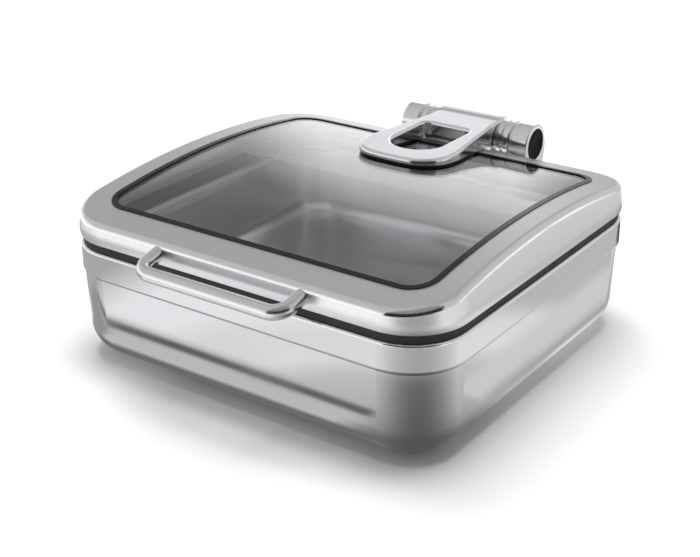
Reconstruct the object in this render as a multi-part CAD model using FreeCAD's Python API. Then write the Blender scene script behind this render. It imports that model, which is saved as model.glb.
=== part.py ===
import FreeCAD, Part
import math
import os

from FreeCAD import Vector

# A two-thirds size induction chafing dish with an arched, hinged glass lid.
# X runs across the dish, Y from its front to its back and Z up, in millimetres.
# The origin is the middle of the flat underside that stands on the hob.

# Food pan, a two-thirds gastronorm pan.
pan_width = 354.0
pan_length = 325.0
pan_depth = 65.0
pan_flange = 10.5
pan_flange_corner = 22.0
pan_wall_corner = 38.0
pan_foot_radius = 16.0
pan_taper = 3.0
pan_sheet = 1.0

# Body, a deep-drawn outer pan with an upright collar.
rim_margin = 33.0
corner_radius = 55.0
body_height = 118.5
collar_height = 25.5
collar_step = 1.5
step_height = 2.5
step_bend = 1.0
collar_bend = 2.5
wall_taper = 2.0
foot_radius = 32.0
body_sheet = 1.5
lip_width = 9.0
lip_bend = 2.5
base_radius = 120.0
base_thickness = 3.0
base_chamfer = 0.8

# Rim frame that carries the pan, and the seal under the lid.
rim_sheet = 1.2
rim_edge = 5.0
seat_drop = 3.0
seat_clearance = 1.5
opening_clearance = 1.0
opening_lip = 6.0
seam_gap = 8.5
seal_width = 9.0
seal_edge = 2.6
seal_clearance = 0.3

# Lid frame: an upright skirt that leans in below its crease, and an arched band round the window.
lid_rise = 40.0
arch_radius = 960.0
lid_sheet = 1.2
lid_inset = 0.5
lid_lean = 7.5
crease_margin = 10.0
lid_bulge = 0.5
crease_radius = 7.0
hem_width = 8.0
window_side_margin = 29.0
window_front_margin = 32.0
window_corner = 27.0
gasket_width = 5.5
gasket_proud = 0.8
gasket_tongue = 3.0
glass_thickness = 5.0
glass_below = 0.3
glass_bite = 2.8
glass_seat = 0.1
gasket_floor = 1.7
retainer_sheet = 1.2
retainer_reach = 6.0
retainer_flange = 10.0

# Handle, a round bar bent to a U.
handle_half = 80.0
handle_bar = 14.0
handle_reach = 27.0
handle_share = 0.49
handle_drop = 6.0
handle_bend = 15.0
handle_screw_radius = 2.5
handle_screw_length = 14.0
handle_head_radius = 4.6
handle_head_height = 2.6

# Hinge, with its axis along X behind the lid.
hinge_rise = 25.0
hinge_gap = 4.5
knuckle_radius = 21.5
knuckle_width = 23.0
knuckle_edge = 1.5
collar_ring_radius = 21.0
collar_ring_width = 14.6
collar_ring_edge = 0.8
collar_gap = 2.0
barrel_radius = 23.0
barrel_half = 39.0
barrel_bore = 15.0
barrel_edge = 1.0
neck_radius = 19.0
neck_width = 2.6
washer_thickness = 0.8
washer_radius = 17.0
washer_gap = 0.1
shaft_radius = 6.0
running_clearance = 0.05
press_clearance = 0.1
end_cap_radius = 17.0
end_cap_thickness = 2.5
end_cap_recess = 2.0
end_cap_edge = 0.6
bush_width = 9.8
damper_width = 20.0
damper_wall = 2.6
rotor_radius = 11.0
rotor_clearance = 0.4
ring_groove_depth = 1.6
ring_groove_width = 3.0

# Bracket that carries the hinge on the back of the collar.
bracket_thickness = 6.0
bracket_height = 21.0
bracket_corner = 8.0
arm_foot = 5.0
arm_sweep = 12.0
arm_sag = 6.0
backing_thickness = 3.0
backing_height = 17.0
backing_corner = 3.0
bracket_screw_radius = 3.0
bracket_head_radius = 5.5
bracket_head_height = 3.3
bracket_head_edge = 2.0
bracket_screw_spacing = 31.0
bracket_screw_count = 4

# Yoke that holds the glass, and its pads and screws.
yoke_rise = 6.0
yoke_front = 57.0
yoke_half = 52.0
yoke_back_half = 38.0
yoke_corner = 33.0
yoke_bow = 4.0
yoke_shoulder = 104.0
yoke_sweep = 80.0
yoke_front_sweep = 220.0
yoke_edge_radius = 3.5
hole_half = 28.5
hole_front = 86.0
hole_back = 171.0
hole_corner = 9.0
hole_flat = 0.5
pad_thickness = 2.5
pad_inset = 1.0
pad_back_clearance = 3.0
clamp_thickness = 2.0
clamp_inset = 5.0
yoke_screw_radius = 2.5
yoke_head_radius = 4.6
yoke_head_height = 2.4
yoke_head_edge = 1.0
yoke_screw_bite = 5.0
yoke_screw_x = 40.0
yoke_screw_front = 88.0
yoke_screw_back = 143.0
sleeve_wall = 2.0
sleeve_clearance = 0.2

# Sizes that follow from those above.
body_half_x = pan_width / 2 + rim_margin
body_half_y = pan_length / 2 + rim_margin
lid_bottom = body_height + seam_gap
lid_apex = lid_bottom + lid_rise
crease_height = lid_rise - arch_radius + math.sqrt(arch_radius ** 2 - body_half_y ** 2)
skirt_height = crease_height - crease_margin
handle_height = lid_bottom + handle_share * crease_height
hinge_axis_height = lid_bottom + hinge_rise
yoke_top = lid_apex + yoke_rise
hinge_y = body_half_y + hinge_gap + knuckle_radius
collar_ring_start = barrel_half + washer_thickness + 2 * washer_gap
knuckle_start = collar_ring_start + collar_ring_width + washer_gap
hinge_half = knuckle_start + knuckle_width
window_half_x = body_half_x - window_side_margin
window_half_y = body_half_y - window_front_margin
glass_floor = glass_below + glass_thickness
gasket_floor_depth = glass_floor + gasket_floor
tall = 4 * body_height
tiny = 1e-4


def line(a, b):
    return Part.LineSegment(a, b).toShape()


def upright(x, z):
    """A point of a section drawn in the XZ plane."""
    return Vector(x, 0, z)


def flat(x, y):
    """A point of an outline drawn in the XY plane."""
    return Vector(x, y, 0)


def bent_edges(points, radii, place, closed=False):
    """Straight runs through the points, with an arc of the given radius at each."""
    count = len(points)
    starts, ends, arcs = [], [], []
    for i, (x, y) in enumerate(points):
        radius = radii[i]
        inner = closed or 0 < i < count - 1
        if not inner or radius <= 0:
            starts.append((x, y))
            ends.append((x, y))
            arcs.append(None)
            continue
        px, py = points[i - 1]
        nx, ny = points[(i + 1) % count]
        into = math.atan2(y - py, x - px)
        out = math.atan2(ny - y, nx - x)
        turn = math.remainder(out - into, 2 * math.pi)
        if abs(turn) < tiny:
            starts.append((x, y))
            ends.append((x, y))
            arcs.append(None)
            continue
        reach = radius * math.tan(abs(turn) / 2)
        start = (x - reach * math.cos(into), y - reach * math.sin(into))
        end = (x + reach * math.cos(out), y + reach * math.sin(out))
        side = math.copysign(1, turn)
        cx = start[0] - side * radius * math.sin(into)
        cy = start[1] + side * radius * math.cos(into)
        half = into + turn / 2
        middle = (cx + side * radius * math.sin(half), cy - side * radius * math.cos(half))
        starts.append(start)
        ends.append(end)
        arcs.append(middle)
    edges = []
    for i in range(count):
        if arcs[i]:
            edges.append(Part.Arc(place(*starts[i]), place(*arcs[i]), place(*ends[i])).toShape())
        if i < count - 1 or closed:
            a = place(*ends[i])
            b = place(*starts[(i + 1) % count])
            if a.distanceToPoint(b) > tiny:
                edges.append(line(a, b))
    return edges


def closed_face(points, radii, place):
    """A flat face inside a closed run of lines with rounded corners."""
    return Part.Face(Part.Wire(bent_edges(points, radii, place, closed=True)))


def shifted_left(points, distance):
    """An open run of straight lines moved sideways, to the left of its direction."""
    moved = []
    count = len(points)
    for i, (x, y) in enumerate(points):
        before = points[max(i - 1, 0)]
        after = points[min(i + 1, count - 1)]
        into = math.atan2(y - before[1], x - before[0]) if i > 0 else None
        out = math.atan2(after[1] - y, after[0] - x) if i < count - 1 else into
        into = out if into is None else into
        turn = math.remainder(out - into, 2 * math.pi)
        normal = into + turn / 2 + math.pi / 2
        reach = distance / math.cos(turn / 2)
        moved.append((x + reach * math.cos(normal), y + reach * math.sin(normal)))
    return moved


def sheet_face(points, radii, thickness):
    """The section of a bent sheet: the run of lines is its right-hand face."""
    turns = [0.0]
    for a, b, c in zip(points, points[1:], points[2:]):
        into = math.atan2(b[1] - a[1], b[0] - a[0])
        out = math.atan2(c[1] - b[1], c[0] - b[0])
        turns.append(math.remainder(out - into, 2 * math.pi))
    turns.append(0.0)
    inner_radii = []
    for radius, turn in zip(radii, turns):
        inner_radii.append(max(radius - math.copysign(thickness, turn), 0.0) if radius else 0.0)
    inner = shifted_left(points, thickness)
    near = bent_edges(points, radii, upright)
    far = bent_edges(inner, inner_radii, upright)
    start = line(upright(*points[0]), upright(*inner[0]))
    end = line(upright(*points[-1]), upright(*inner[-1]))
    return Part.Face(Part.Wire(Part.__sortEdges__(near + far + [start, end])))


def formed(section, half_x, half_y, radius):
    """A section carried round a rounded rectangle, measured from its corner's centre."""
    cx = half_x - radius
    cy = half_y - radius
    pieces = []
    corners = [(cx, cy, 0), (-cx, cy, 90), (-cx, -cy, 180), (cx, -cy, 270)]
    for x, y, angle in corners:
        corner = section.revolve(Vector(0, 0, 0), Vector(0, 0, 1), 90)
        corner.rotate(Vector(0, 0, 0), Vector(0, 0, 1), angle)
        corner.translate(Vector(x, y, 0))
        side = section.extrude(Vector(0, -2 * (cy if angle % 180 == 0 else cx), 0))
        side.rotate(Vector(0, 0, 0), Vector(0, 0, 1), angle)
        side.translate(Vector(x, y, 0))
        pieces += [corner, side]
    return pieces[0].fuse(pieces[1:]).removeSplitter()


def middle_block(half_x, half_y, radius, z0, z1):
    """The block between the four corner centres of a rounded rectangle."""
    cx = half_x - radius
    cy = half_y - radius
    return Part.makeBox(2 * cx, 2 * cy, z1 - z0, Vector(-cx, -cy, z0))


def slab(half_x, half_y, radius, z0, z1):
    """An upright block with a rounded rectangle as its plan."""
    points = [(half_x, half_y), (-half_x, half_y), (-half_x, -half_y), (half_x, -half_y)]
    face = closed_face(points, [radius] * 4, flat)
    face.translate(Vector(0, 0, z0))
    return face.extrude(Vector(0, 0, z1 - z0))


def outline_slab(inset, z0, z1):
    """A block with the body's plan, drawn in by the inset."""
    return slab(body_half_x - inset, body_half_y - inset, corner_radius - inset, z0, z1)


def window_slab(inset, z0=0.0, z1=tall):
    """A block with the lid window's plan, drawn in by the inset."""
    return slab(window_half_x - inset, window_half_y - inset, window_corner - inset, z0, z1)


def rod(radius, x0, x1, y=hinge_y, z=hinge_axis_height):
    """A round bar along X."""
    return Part.makeCylinder(radius, x1 - x0, Vector(x0, y, z), Vector(1, 0, 0))


def under_arch(rise):
    """All the space below the lid's arch, raised by the given amount."""
    reach = 2 * body_half_x
    axis_start = Vector(-reach, 0, lid_apex - arch_radius)
    cylinder = Part.makeCylinder(arch_radius + rise, 2 * reach, axis_start, Vector(1, 0, 0))
    block = Part.makeBox(2 * reach, 2 * reach, tall, Vector(-reach, -reach, 0))
    return block.common(cylinder)


def arch_layer(top, bottom):
    """The curved layer between two heights above the lid's arch."""
    return under_arch(top).cut(under_arch(bottom))


def pin(radius, x, y, z, length):
    """A round bar along Y that starts at the given point."""
    return Part.makeCylinder(radius, length, Vector(x, y, z), Vector(0, 1, 0))


def mirrored(shape):
    """The same shape on the other side of the dish."""
    return shape.mirror(Vector(0, 0, 0), Vector(1, 0, 0))


def body_shell():
    """Deep-drawn outer pan: foot curve, tapered wall, upright collar and turned-in lip."""
    bottom = base_thickness
    collar_bottom = body_height - collar_height
    wall_top = collar_bottom - step_height
    taper = (wall_top - bottom) * math.tan(math.radians(wall_taper))
    r = corner_radius
    points = [
        (0, bottom),
        (r - collar_step - taper, bottom),
        (r - collar_step, wall_top),
        (r, collar_bottom),
        (r, body_height),
        (r - lip_width, body_height),
    ]
    bends = [0, foot_radius, step_bend, collar_bend, lip_bend, 0]
    section = sheet_face(points, bends, body_sheet)
    shell = formed(section, body_half_x, body_half_y, r)
    floor = middle_block(body_half_x, body_half_y, r, bottom, bottom + body_sheet)
    shell = shell.fuse(floor).removeSplitter()
    for x in bracket_screw_places():
        shell = shell.cut(pin(bracket_screw_radius + press_clearance, x, 0, bracket_middle(), tall))
    return shell


def induction_base():
    """Round magnetic plate bonded under the body."""
    plate = Part.makeCylinder(base_radius, base_thickness)
    edges = [e for e in plate.Edges if abs(e.BoundBox.ZMax) < tiny]
    return plate.makeChamfer(base_chamfer, edges)


def rim_frame():
    """Pressed frame on the lip, stepped down to carry the pan's flange."""
    top = body_height + rim_sheet
    seat_top = top - seat_drop
    step_inset = rim_margin - seat_clearance
    frame = outline_slab(rim_edge, body_height, top).cut(outline_slab(step_inset - rim_sheet, 0, tall))
    riser = outline_slab(step_inset - rim_sheet, seat_top - rim_sheet, top)
    riser = riser.cut(outline_slab(step_inset, 0, tall))
    half_x, half_y, corner = pan_opening()
    seat = outline_slab(step_inset - rim_sheet, seat_top - rim_sheet, seat_top)
    seat = seat.cut(slab(half_x, half_y, corner, 0, tall))
    lip = slab(half_x + rim_sheet, half_y + rim_sheet, corner + rim_sheet, seat_top - opening_lip, seat_top)
    lip = lip.cut(slab(half_x, half_y, corner, 0, tall))
    return frame.fuse([riser, seat, lip]).removeSplitter()


def pan_opening():
    """Half sizes and corner radius of the opening that the pan hangs in."""
    inset = pan_flange - pan_sheet - opening_clearance
    return pan_width / 2 - inset, pan_length / 2 - inset, pan_wall_corner + opening_clearance


def rim_seal():
    """Black seal strip that laps over the edge of the rim frame, just inside the seam."""
    high = lid_bottom - seal_clearance
    ring = outline_slab(seal_edge, body_height, high).cut(outline_slab(seal_edge + seal_width, 0, tall))
    return ring.cut(outline_slab(rim_edge, 0, body_height + rim_sheet))


def food_pan():
    """Gastronorm pan that hangs by its flange and lifts out."""
    seat = body_height + rim_sheet - seat_drop
    top = seat + pan_sheet
    bottom = top - pan_depth
    half_x = pan_width / 2 - pan_flange + pan_sheet
    half_y = pan_length / 2 - pan_flange + pan_sheet
    r = pan_wall_corner
    taper = (top - bottom) * math.tan(math.radians(pan_taper))
    points = [(0, bottom), (r - taper, bottom), (r, top)]
    section = sheet_face(points, [0, pan_foot_radius, 0], pan_sheet)
    bowl = formed(section, half_x, half_y, r)
    bowl = bowl.fuse(middle_block(half_x, half_y, r, bottom, bottom + pan_sheet))
    bowl = bowl.common(slab(pan_width, pan_width, 1, 0, top))
    flange = slab(pan_width / 2, pan_length / 2, pan_flange_corner, seat, top)
    inner = pan_sheet / math.cos(math.radians(pan_taper))
    flange = flange.cut(slab(half_x - inner, half_y - inner, r - inner, 0, tall))
    return bowl.fuse(flange).removeSplitter()


def lid_envelope(inset, bottom):
    """The lid's outer form: a skirt that leans in above its widest line, under an arched top."""
    r = corner_radius
    top = lid_apex + lid_sheet
    widest = lid_bottom + skirt_height
    low = upright(r - lid_inset - inset, lid_bottom)
    high = upright(r - inset, widest)
    middle = (low + high) * 0.5 + upright(lid_bulge, 0)
    crown = upright(high.x - (top - widest) * math.tan(math.radians(lid_lean)), top)
    edges = [
        Part.Arc(low, middle, high).toShape(),
        line(high, crown),
        line(crown, upright(0, top)),
        line(upright(0, top), upright(0, bottom)),
        line(upright(0, bottom), upright(low.x, bottom)),
    ]
    if lid_bottom - bottom > tiny:
        edges.append(line(upright(low.x, bottom), low))
    section = Part.Face(Part.Wire(Part.__sortEdges__(edges)))
    solid = formed(section, body_half_x, body_half_y, r)
    solid = solid.fuse(middle_block(body_half_x, body_half_y, r, bottom, top)).removeSplitter()
    return solid.common(under_arch(-inset))


def crease_edges(solid, rise):
    """The edges where the arched top meets the skirt."""
    found = []
    for edge in solid.Edges:
        on_arch = True
        for t in (0.1, 0.5, 0.9):
            span = edge.LastParameter - edge.FirstParameter
            p = edge.valueAt(edge.FirstParameter + span * t)
            height = math.hypot(p.y, p.z - lid_apex + arch_radius)
            outside = abs(p.x) > body_half_x - corner_radius or abs(p.y) > body_half_y - corner_radius
            on_arch = on_arch and outside and abs(height - arch_radius - rise) < 0.01
        if on_arch:
            found.append(edge)
    return found


def rounded_envelope(inset, bottom):
    """The lid's form with its crease rounded."""
    solid = lid_envelope(inset, bottom)
    return solid.makeFillet(crease_radius - inset, crease_edges(solid, -inset))


def lid_frame():
    """Pressed lid frame: skirt, arched band, window and turned-in hem."""
    outside = rounded_envelope(0.0, lid_bottom)
    inside = rounded_envelope(lid_sheet, lid_bottom - lid_sheet)
    hem = outline_slab(lid_inset, lid_bottom, lid_bottom + lid_sheet)
    hem = hem.cut(outline_slab(lid_inset + hem_width, 0, tall)).common(outside)
    frame = outside.cut(inside).cut(window_slab(0)).fuse(hem).removeSplitter()
    for x in (-handle_half, handle_half):
        hole = pin(handle_screw_radius + press_clearance, x, -tall, handle_height, tall)
        frame = frame.cut(hole)
    return frame


def lid_glass():
    """Curved toughened glass with four holes for the yoke's screws."""
    glass = window_slab(glass_bite).common(arch_layer(-glass_below, -glass_floor))
    radius = yoke_screw_radius + sleeve_clearance + sleeve_wall
    for x, y in yoke_screw_places():
        glass = glass.cut(Part.makeCylinder(radius, tall, Vector(x, y, 0)))
    return glass


def glass_gasket():
    """Black gasket that grips the edge of the glass and fills the window."""
    low = -gasket_floor_depth
    strip = window_slab(0).cut(window_slab(gasket_width)).common(arch_layer(gasket_proud, low))
    tongue = window_slab(-gasket_tongue).cut(window_slab(0)).common(arch_layer(-lid_sheet, low))
    slot = window_slab(glass_bite - glass_seat)
    slot = slot.common(arch_layer(-glass_below + glass_seat, -glass_floor - glass_seat))
    return strip.fuse(tongue).removeSplitter().cut(slot)


def glass_retainer():
    """Z-shaped inner frame that holds the gasket up against the band."""
    low = -gasket_floor_depth
    inner = -gasket_tongue - 2 * press_clearance
    leg = window_slab(inner - retainer_sheet).cut(window_slab(retainer_reach))
    leg = leg.common(arch_layer(low, low - retainer_sheet))
    riser = window_slab(inner - retainer_sheet).cut(window_slab(inner))
    riser = riser.common(arch_layer(-lid_sheet, low - retainer_sheet))
    flange = window_slab(inner - retainer_flange).cut(window_slab(inner))
    flange = flange.common(arch_layer(-lid_sheet, -lid_sheet - retainer_sheet))
    return leg.fuse([riser, flange]).removeSplitter()


def lid_handle():
    """Round bar bent to a U, its two legs seated on the front of the skirt."""
    r = handle_bar / 2
    front = -body_half_y - handle_reach
    back = -body_half_y + 2 * r
    low = handle_height - handle_drop
    slope = handle_drop / handle_reach
    length = (front - back) * -1
    fall = length * slope
    start = handle_height + (back + body_half_y) * slope

    def tilted(x, y):
        return Vector(x, y, start - (back - y) * slope)

    points = [(-handle_half, back), (-handle_half, front), (handle_half, front), (handle_half, back)]
    path = Part.Wire(bent_edges(points, [0, handle_bend, handle_bend, 0], tilted))
    circle = Part.Circle(tilted(-handle_half, back), Vector(0, -length, -fall), r)
    bar = path.makePipeShell([Part.Wire(circle.toShape())], True, True)
    bar = bar.cut(rounded_envelope(0.0, lid_bottom))
    bar = max(bar.Solids, key=lambda s: s.Volume)
    for x in (-handle_half, handle_half):
        bar = bar.cut(handle_shank(x))
    return bar


def handle_shank(x):
    """The threaded shank of a handle screw, from inside the skirt into the leg."""
    y = -body_half_y - handle_screw_length
    return pin(handle_screw_radius, x, y, handle_height, handle_screw_length + 2 * lid_sheet)


def handle_screws():
    """Two pan-head screws that hold the handle from inside the lid."""
    inside = lid_envelope(lid_sheet, lid_bottom - lid_sheet)
    screws = []
    for x in (-handle_half, handle_half):
        y = -body_half_y + lid_sheet / 2
        head = pin(handle_head_radius, x, y, handle_height, handle_head_height).common(inside)
        screws.append(head.fuse(handle_shank(x)).removeSplitter())
    return Part.makeCompound(screws)


def yoke_outline(inset, back):
    """The yoke's plan: a bowed front with large corners, narrowing to the barrel."""
    half = yoke_half - inset
    back_half = yoke_back_half - inset
    front = yoke_front + inset
    neck = hinge_y - barrel_radius - collar_gap
    side = [(back_half, back), (back_half, neck), (half, yoke_shoulder), (half - 1, front + yoke_bow)]
    points = side + [(0, front)] + [(-x, y) for x, y in reversed(side)]
    bend = yoke_corner - inset
    radii = [0, yoke_sweep, yoke_sweep, bend]
    return closed_face(points, radii + [yoke_front_sweep] + radii[::-1], flat)


def yoke_hole(inset):
    """The D-shaped opening in the yoke: a round front and a flat back."""
    half = hole_half + inset
    front = hole_front - inset
    back = hole_back + inset
    corner = hole_corner + inset
    round_end = half - hole_flat
    points = [(half, back), (-half, back), (-half, front), (half, front)]
    return closed_face(points, [corner, corner, round_end, round_end], flat)


def raised(face):
    """A plan drawn up through the whole height of the dish."""
    return face.extrude(Vector(0, 0, tall))


def hinge_yoke():
    """Cast yoke: a level loop over the glass that runs into the hinge's barrel."""
    low = hinge_axis_height - barrel_radius
    plate = yoke_outline(0.0, hinge_y).cut(yoke_hole(0.0)).extrude(Vector(0, 0, yoke_top - low))
    plate.translate(Vector(0, 0, low))
    rim = []
    for edge in plate.Edges:
        box = edge.BoundBox
        if box.ZMin > yoke_top - tiny and box.YMin < hinge_y - 1:
            rim.append(edge)
    plate = plate.makeFillet(yoke_edge_radius, rim)
    plate = plate.cut(under_arch(pad_thickness - glass_below))
    body = rod(barrel_radius, -barrel_half + neck_width, barrel_half - neck_width)
    edges = [e for e in body.Edges if e.BoundBox.XLength < tiny]
    body = body.makeChamfer(barrel_edge, edges)
    yoke = plate.fuse([body, rod(neck_radius, -barrel_half, barrel_half)]).removeSplitter()
    yoke = yoke.cut(rod(barrel_bore, -tall, tall))
    for x, y in yoke_screw_places():
        yoke = yoke.cut(yoke_shank(x, y))
    return yoke


def pad_reach():
    """How far back the pads go before they would meet the gasket."""
    return window_half_y - gasket_width - pad_back_clearance


def pad_plan(inset):
    """The part of the yoke's plan that lies over the glass."""
    plan = yoke_outline(inset, hinge_y).cut(yoke_hole(inset))
    reach = pad_reach()
    keep = Part.makePlane(4 * yoke_half, reach + tall, Vector(-2 * yoke_half, -tall, 0))
    return raised(plan).common(raised(keep))


def layer_with_holes(plan, top, bottom, radius):
    """A curved layer of the plan with the four screw holes through it."""
    piece = plan.common(arch_layer(top, bottom))
    for x, y in yoke_screw_places():
        piece = piece.cut(Part.makeCylinder(radius, tall, Vector(x, y, 0)))
    return piece


def yoke_pad():
    """Black pad between the yoke and the glass."""
    top = pad_thickness - glass_below
    return layer_with_holes(pad_plan(pad_inset), top, -glass_below + glass_seat, yoke_screw_radius)


def clamp_pad():
    """Black pad under the glass."""
    plan = pad_plan(clamp_inset - pad_inset)
    top = -glass_floor - glass_seat
    return layer_with_holes(plan, top, -glass_floor - pad_thickness, yoke_screw_radius)


def clamp_plate():
    """Steel plate that the screws pull up against the glass from inside."""
    top = -glass_floor - pad_thickness
    return layer_with_holes(pad_plan(clamp_inset), top, top - clamp_thickness, yoke_screw_radius)


def yoke_screw_places():
    """Plan positions of the four yoke screws."""
    rows = (yoke_screw_front, yoke_screw_back)
    return [(x, y) for y in rows for x in (-yoke_screw_x, yoke_screw_x)]


def arch_height(y):
    """Height of the lid's arch at a distance from its middle."""
    return lid_apex - arch_radius + math.sqrt(arch_radius ** 2 - y ** 2)


def yoke_shank(x, y):
    """The threaded shank of a yoke screw, from the clamp plate up into the yoke."""
    low = arch_height(y) - glass_floor - pad_thickness - clamp_thickness
    high = arch_height(y) + pad_thickness + yoke_screw_bite
    return Part.makeCylinder(yoke_screw_radius, high - low, Vector(x, y, low))


def yoke_screws():
    """Four dome-head screws through plate, pads and glass into the yoke."""
    screws = []
    for x, y in yoke_screw_places():
        seat = -glass_floor - pad_thickness - clamp_thickness
        low = arch_height(y) + seat - yoke_head_height
        head = Part.makeCylinder(yoke_head_radius, 2 * yoke_head_height, Vector(x, y, low))
        rim = [e for e in head.Edges if e.BoundBox.ZMax < low + tiny]
        head = head.makeFillet(yoke_head_edge, rim).common(under_arch(seat))
        screws.append(head.fuse(yoke_shank(x, y)).removeSplitter())
    return Part.makeCompound(screws)


def glass_sleeves():
    """Four plastic sleeves that keep the screws off the glass."""
    inner = yoke_screw_radius + sleeve_clearance
    sleeves = []
    for x, y in yoke_screw_places():
        tube = Part.makeCylinder(inner + sleeve_wall - glass_seat, tall, Vector(x, y, 0))
        tube = tube.cut(Part.makeCylinder(inner, tall, Vector(x, y, 0)))
        sleeves.append(tube.common(arch_layer(-glass_below, -glass_floor)))
    return Part.makeCompound(sleeves)


def hinge_shaft():
    """Steel shaft held still in both knuckles."""
    return rod(shaft_radius, -shaft_half(), shaft_half())


def shaft_half():
    """Half the shaft's length: it ends level with the end caps' recess."""
    return hinge_half - end_cap_recess - end_cap_thickness


def hinge_collar():
    """Grooved ring on the shaft between the barrel and the right knuckle."""
    x0 = collar_ring_start
    x1 = x0 + collar_ring_width
    ring = rod(collar_ring_radius, x0, x1)
    edges = [e for e in ring.Edges if e.BoundBox.XLength < tiny]
    ring = ring.makeChamfer(collar_ring_edge, edges)
    middle = (x0 + x1) / 2
    groove = rod(tall, middle - ring_groove_width / 2, middle + ring_groove_width / 2)
    groove = groove.cut(rod(collar_ring_radius - ring_groove_depth, x0, x1))
    return ring.cut(groove).cut(rod(shaft_radius, x0, x1))


def hinge_washers():
    """Plain washers between the barrel and the collars."""
    x0 = barrel_half + washer_gap
    disc = rod(washer_radius, x0, x0 + washer_thickness).cut(rod(shaft_radius, 0, tall))
    return Part.makeCompound([disc, mirrored(disc)])


def hinge_bushes():
    """Two plastic bushes in the barrel's ends, which turn on the shaft."""
    bush = rod(barrel_bore - press_clearance, barrel_half - bush_width, barrel_half)
    bush = bush.cut(rod(shaft_radius + running_clearance, 0, tall))
    return Part.makeCompound([bush, mirrored(bush)])


def damper_span():
    """Where the right damper lies along the shaft."""
    end = barrel_half - bush_width - press_clearance
    return end - damper_width, end


def damper_housings():
    """Two damper drums that turn with the lid."""
    x0, x1 = damper_span()
    drum = rod(barrel_bore - press_clearance, x0, x1)
    drum = drum.cut(rod(rotor_radius + rotor_clearance, x0 + damper_wall, x1 - damper_wall))
    drum = drum.cut(rod(shaft_radius + 2 * running_clearance, x0, x1))
    return Part.makeCompound([drum, mirrored(drum)])


def damper_rotors():
    """Two rotors fixed on the shaft inside the damper drums."""
    x0, x1 = damper_span()
    gap = damper_wall + rotor_clearance
    rotor = rod(rotor_radius, x0 + gap, x1 - gap).cut(rod(shaft_radius, x0, x1))
    return Part.makeCompound([rotor, mirrored(rotor)])


def end_cap():
    """Black disc in the recess at the end of the right knuckle."""
    x0 = shaft_half()
    disc = rod(end_cap_radius - press_clearance, x0, x0 + end_cap_thickness)
    edges = [e for e in disc.Edges if e.BoundBox.XLength < tiny and e.BoundBox.XMin > x0 + 1]
    return disc.makeFillet(end_cap_edge, edges)


def bracket_middle():
    """Height of the bracket's plate and its row of screws."""
    return body_height - lip_bend - bracket_height / 2


def bracket_screw_places():
    """The X positions of the row of bracket screws."""
    first = -bracket_screw_spacing * (bracket_screw_count - 1) / 2
    return [first + bracket_screw_spacing * i for i in range(bracket_screw_count)]


def bracket_arm():
    """Right arm of the bracket: a web that sweeps up into the knuckle."""
    low = bracket_middle() - bracket_height / 2
    face = body_half_y
    front = body_half_y + hinge_gap
    back = hinge_y + knuckle_radius
    foot = face + bracket_thickness + arm_foot
    start = upright(face, low)
    sweep = upright(hinge_y + arm_sweep, (low + hinge_axis_height) / 2 - arm_sag)
    edges = [
        line(start, upright(foot, low)),
        Part.Arc(upright(foot, low), sweep, upright(back, hinge_axis_height)).toShape(),
        line(upright(back, hinge_axis_height), upright(front, hinge_axis_height)),
        line(upright(front, hinge_axis_height), upright(front, body_height - lip_bend)),
        line(upright(front, body_height - lip_bend), upright(face, body_height - lip_bend)),
        line(upright(face, body_height - lip_bend), start),
    ]
    web = Part.Face(Part.Wire(edges)).extrude(Vector(0, -knuckle_width, 0))
    web.rotate(Vector(0, 0, 0), Vector(0, 0, 1), 90)
    web.translate(Vector(hinge_half - knuckle_width, 0, 0))
    knuckle = rod(knuckle_radius, hinge_half - knuckle_width + neck_width, hinge_half)
    ends = [e for e in knuckle.Edges if e.BoundBox.XLength < tiny]
    knuckle = knuckle.makeFillet(knuckle_edge, ends)
    neck = rod(neck_radius, hinge_half - knuckle_width, hinge_half - 1)
    trim = rod(tall, hinge_half - knuckle_width - 1, hinge_half - knuckle_width + neck_width)
    trim = trim.common(Part.makeBox(tall, tall, tall, Vector(0, front, hinge_axis_height - knuckle_radius)))
    return web.cut(trim).fuse([knuckle, neck]).removeSplitter()


def hinge_bracket():
    """Cast bracket on the back of the collar, with two arms and knuckles."""
    low = bracket_middle() - bracket_height / 2
    high = low + bracket_height
    points = [(hinge_half, low), (hinge_half, high), (-hinge_half, high), (-hinge_half, low)]
    corner = bracket_corner
    plate = closed_face(points, [corner, 0, 0, corner], upright)
    plate = plate.extrude(Vector(0, bracket_thickness, 0))
    plate.translate(Vector(0, body_half_y, 0))
    arm = bracket_arm()
    bracket = plate.fuse([arm, mirrored(arm)]).removeSplitter()
    bracket = bracket.cut(rod(shaft_radius, -tall, tall))
    recess = rod(end_cap_radius, shaft_half(), tall)
    bracket = bracket.cut([recess, mirrored(recess)])
    for x in bracket_screw_places():
        hole = pin(bracket_screw_radius + press_clearance, x, body_half_y, bracket_middle(), tall)
        bracket = bracket.cut(hole)
    return bracket


def backing_plate():
    """Tapped plate inside the collar that the bracket's screws pull against."""
    length = bracket_screw_spacing * bracket_screw_count
    y = body_half_y - body_sheet - backing_thickness
    low = bracket_middle() - backing_height / 2
    plate = Part.makeBox(length, backing_thickness, backing_height, Vector(-length / 2, y, low))
    edges = [e for e in plate.Edges if e.BoundBox.YLength > backing_thickness / 2]
    plate = plate.makeFillet(backing_corner, edges)
    for x in bracket_screw_places():
        plate = plate.cut(bracket_shank(x))
    return plate


def bracket_shank(x):
    """The shank of a bracket screw, through the plate and the wall."""
    y = body_half_y - body_sheet - backing_thickness - 1
    length = body_half_y + bracket_thickness - y
    return pin(bracket_screw_radius, x, y, bracket_middle(), length)


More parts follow.
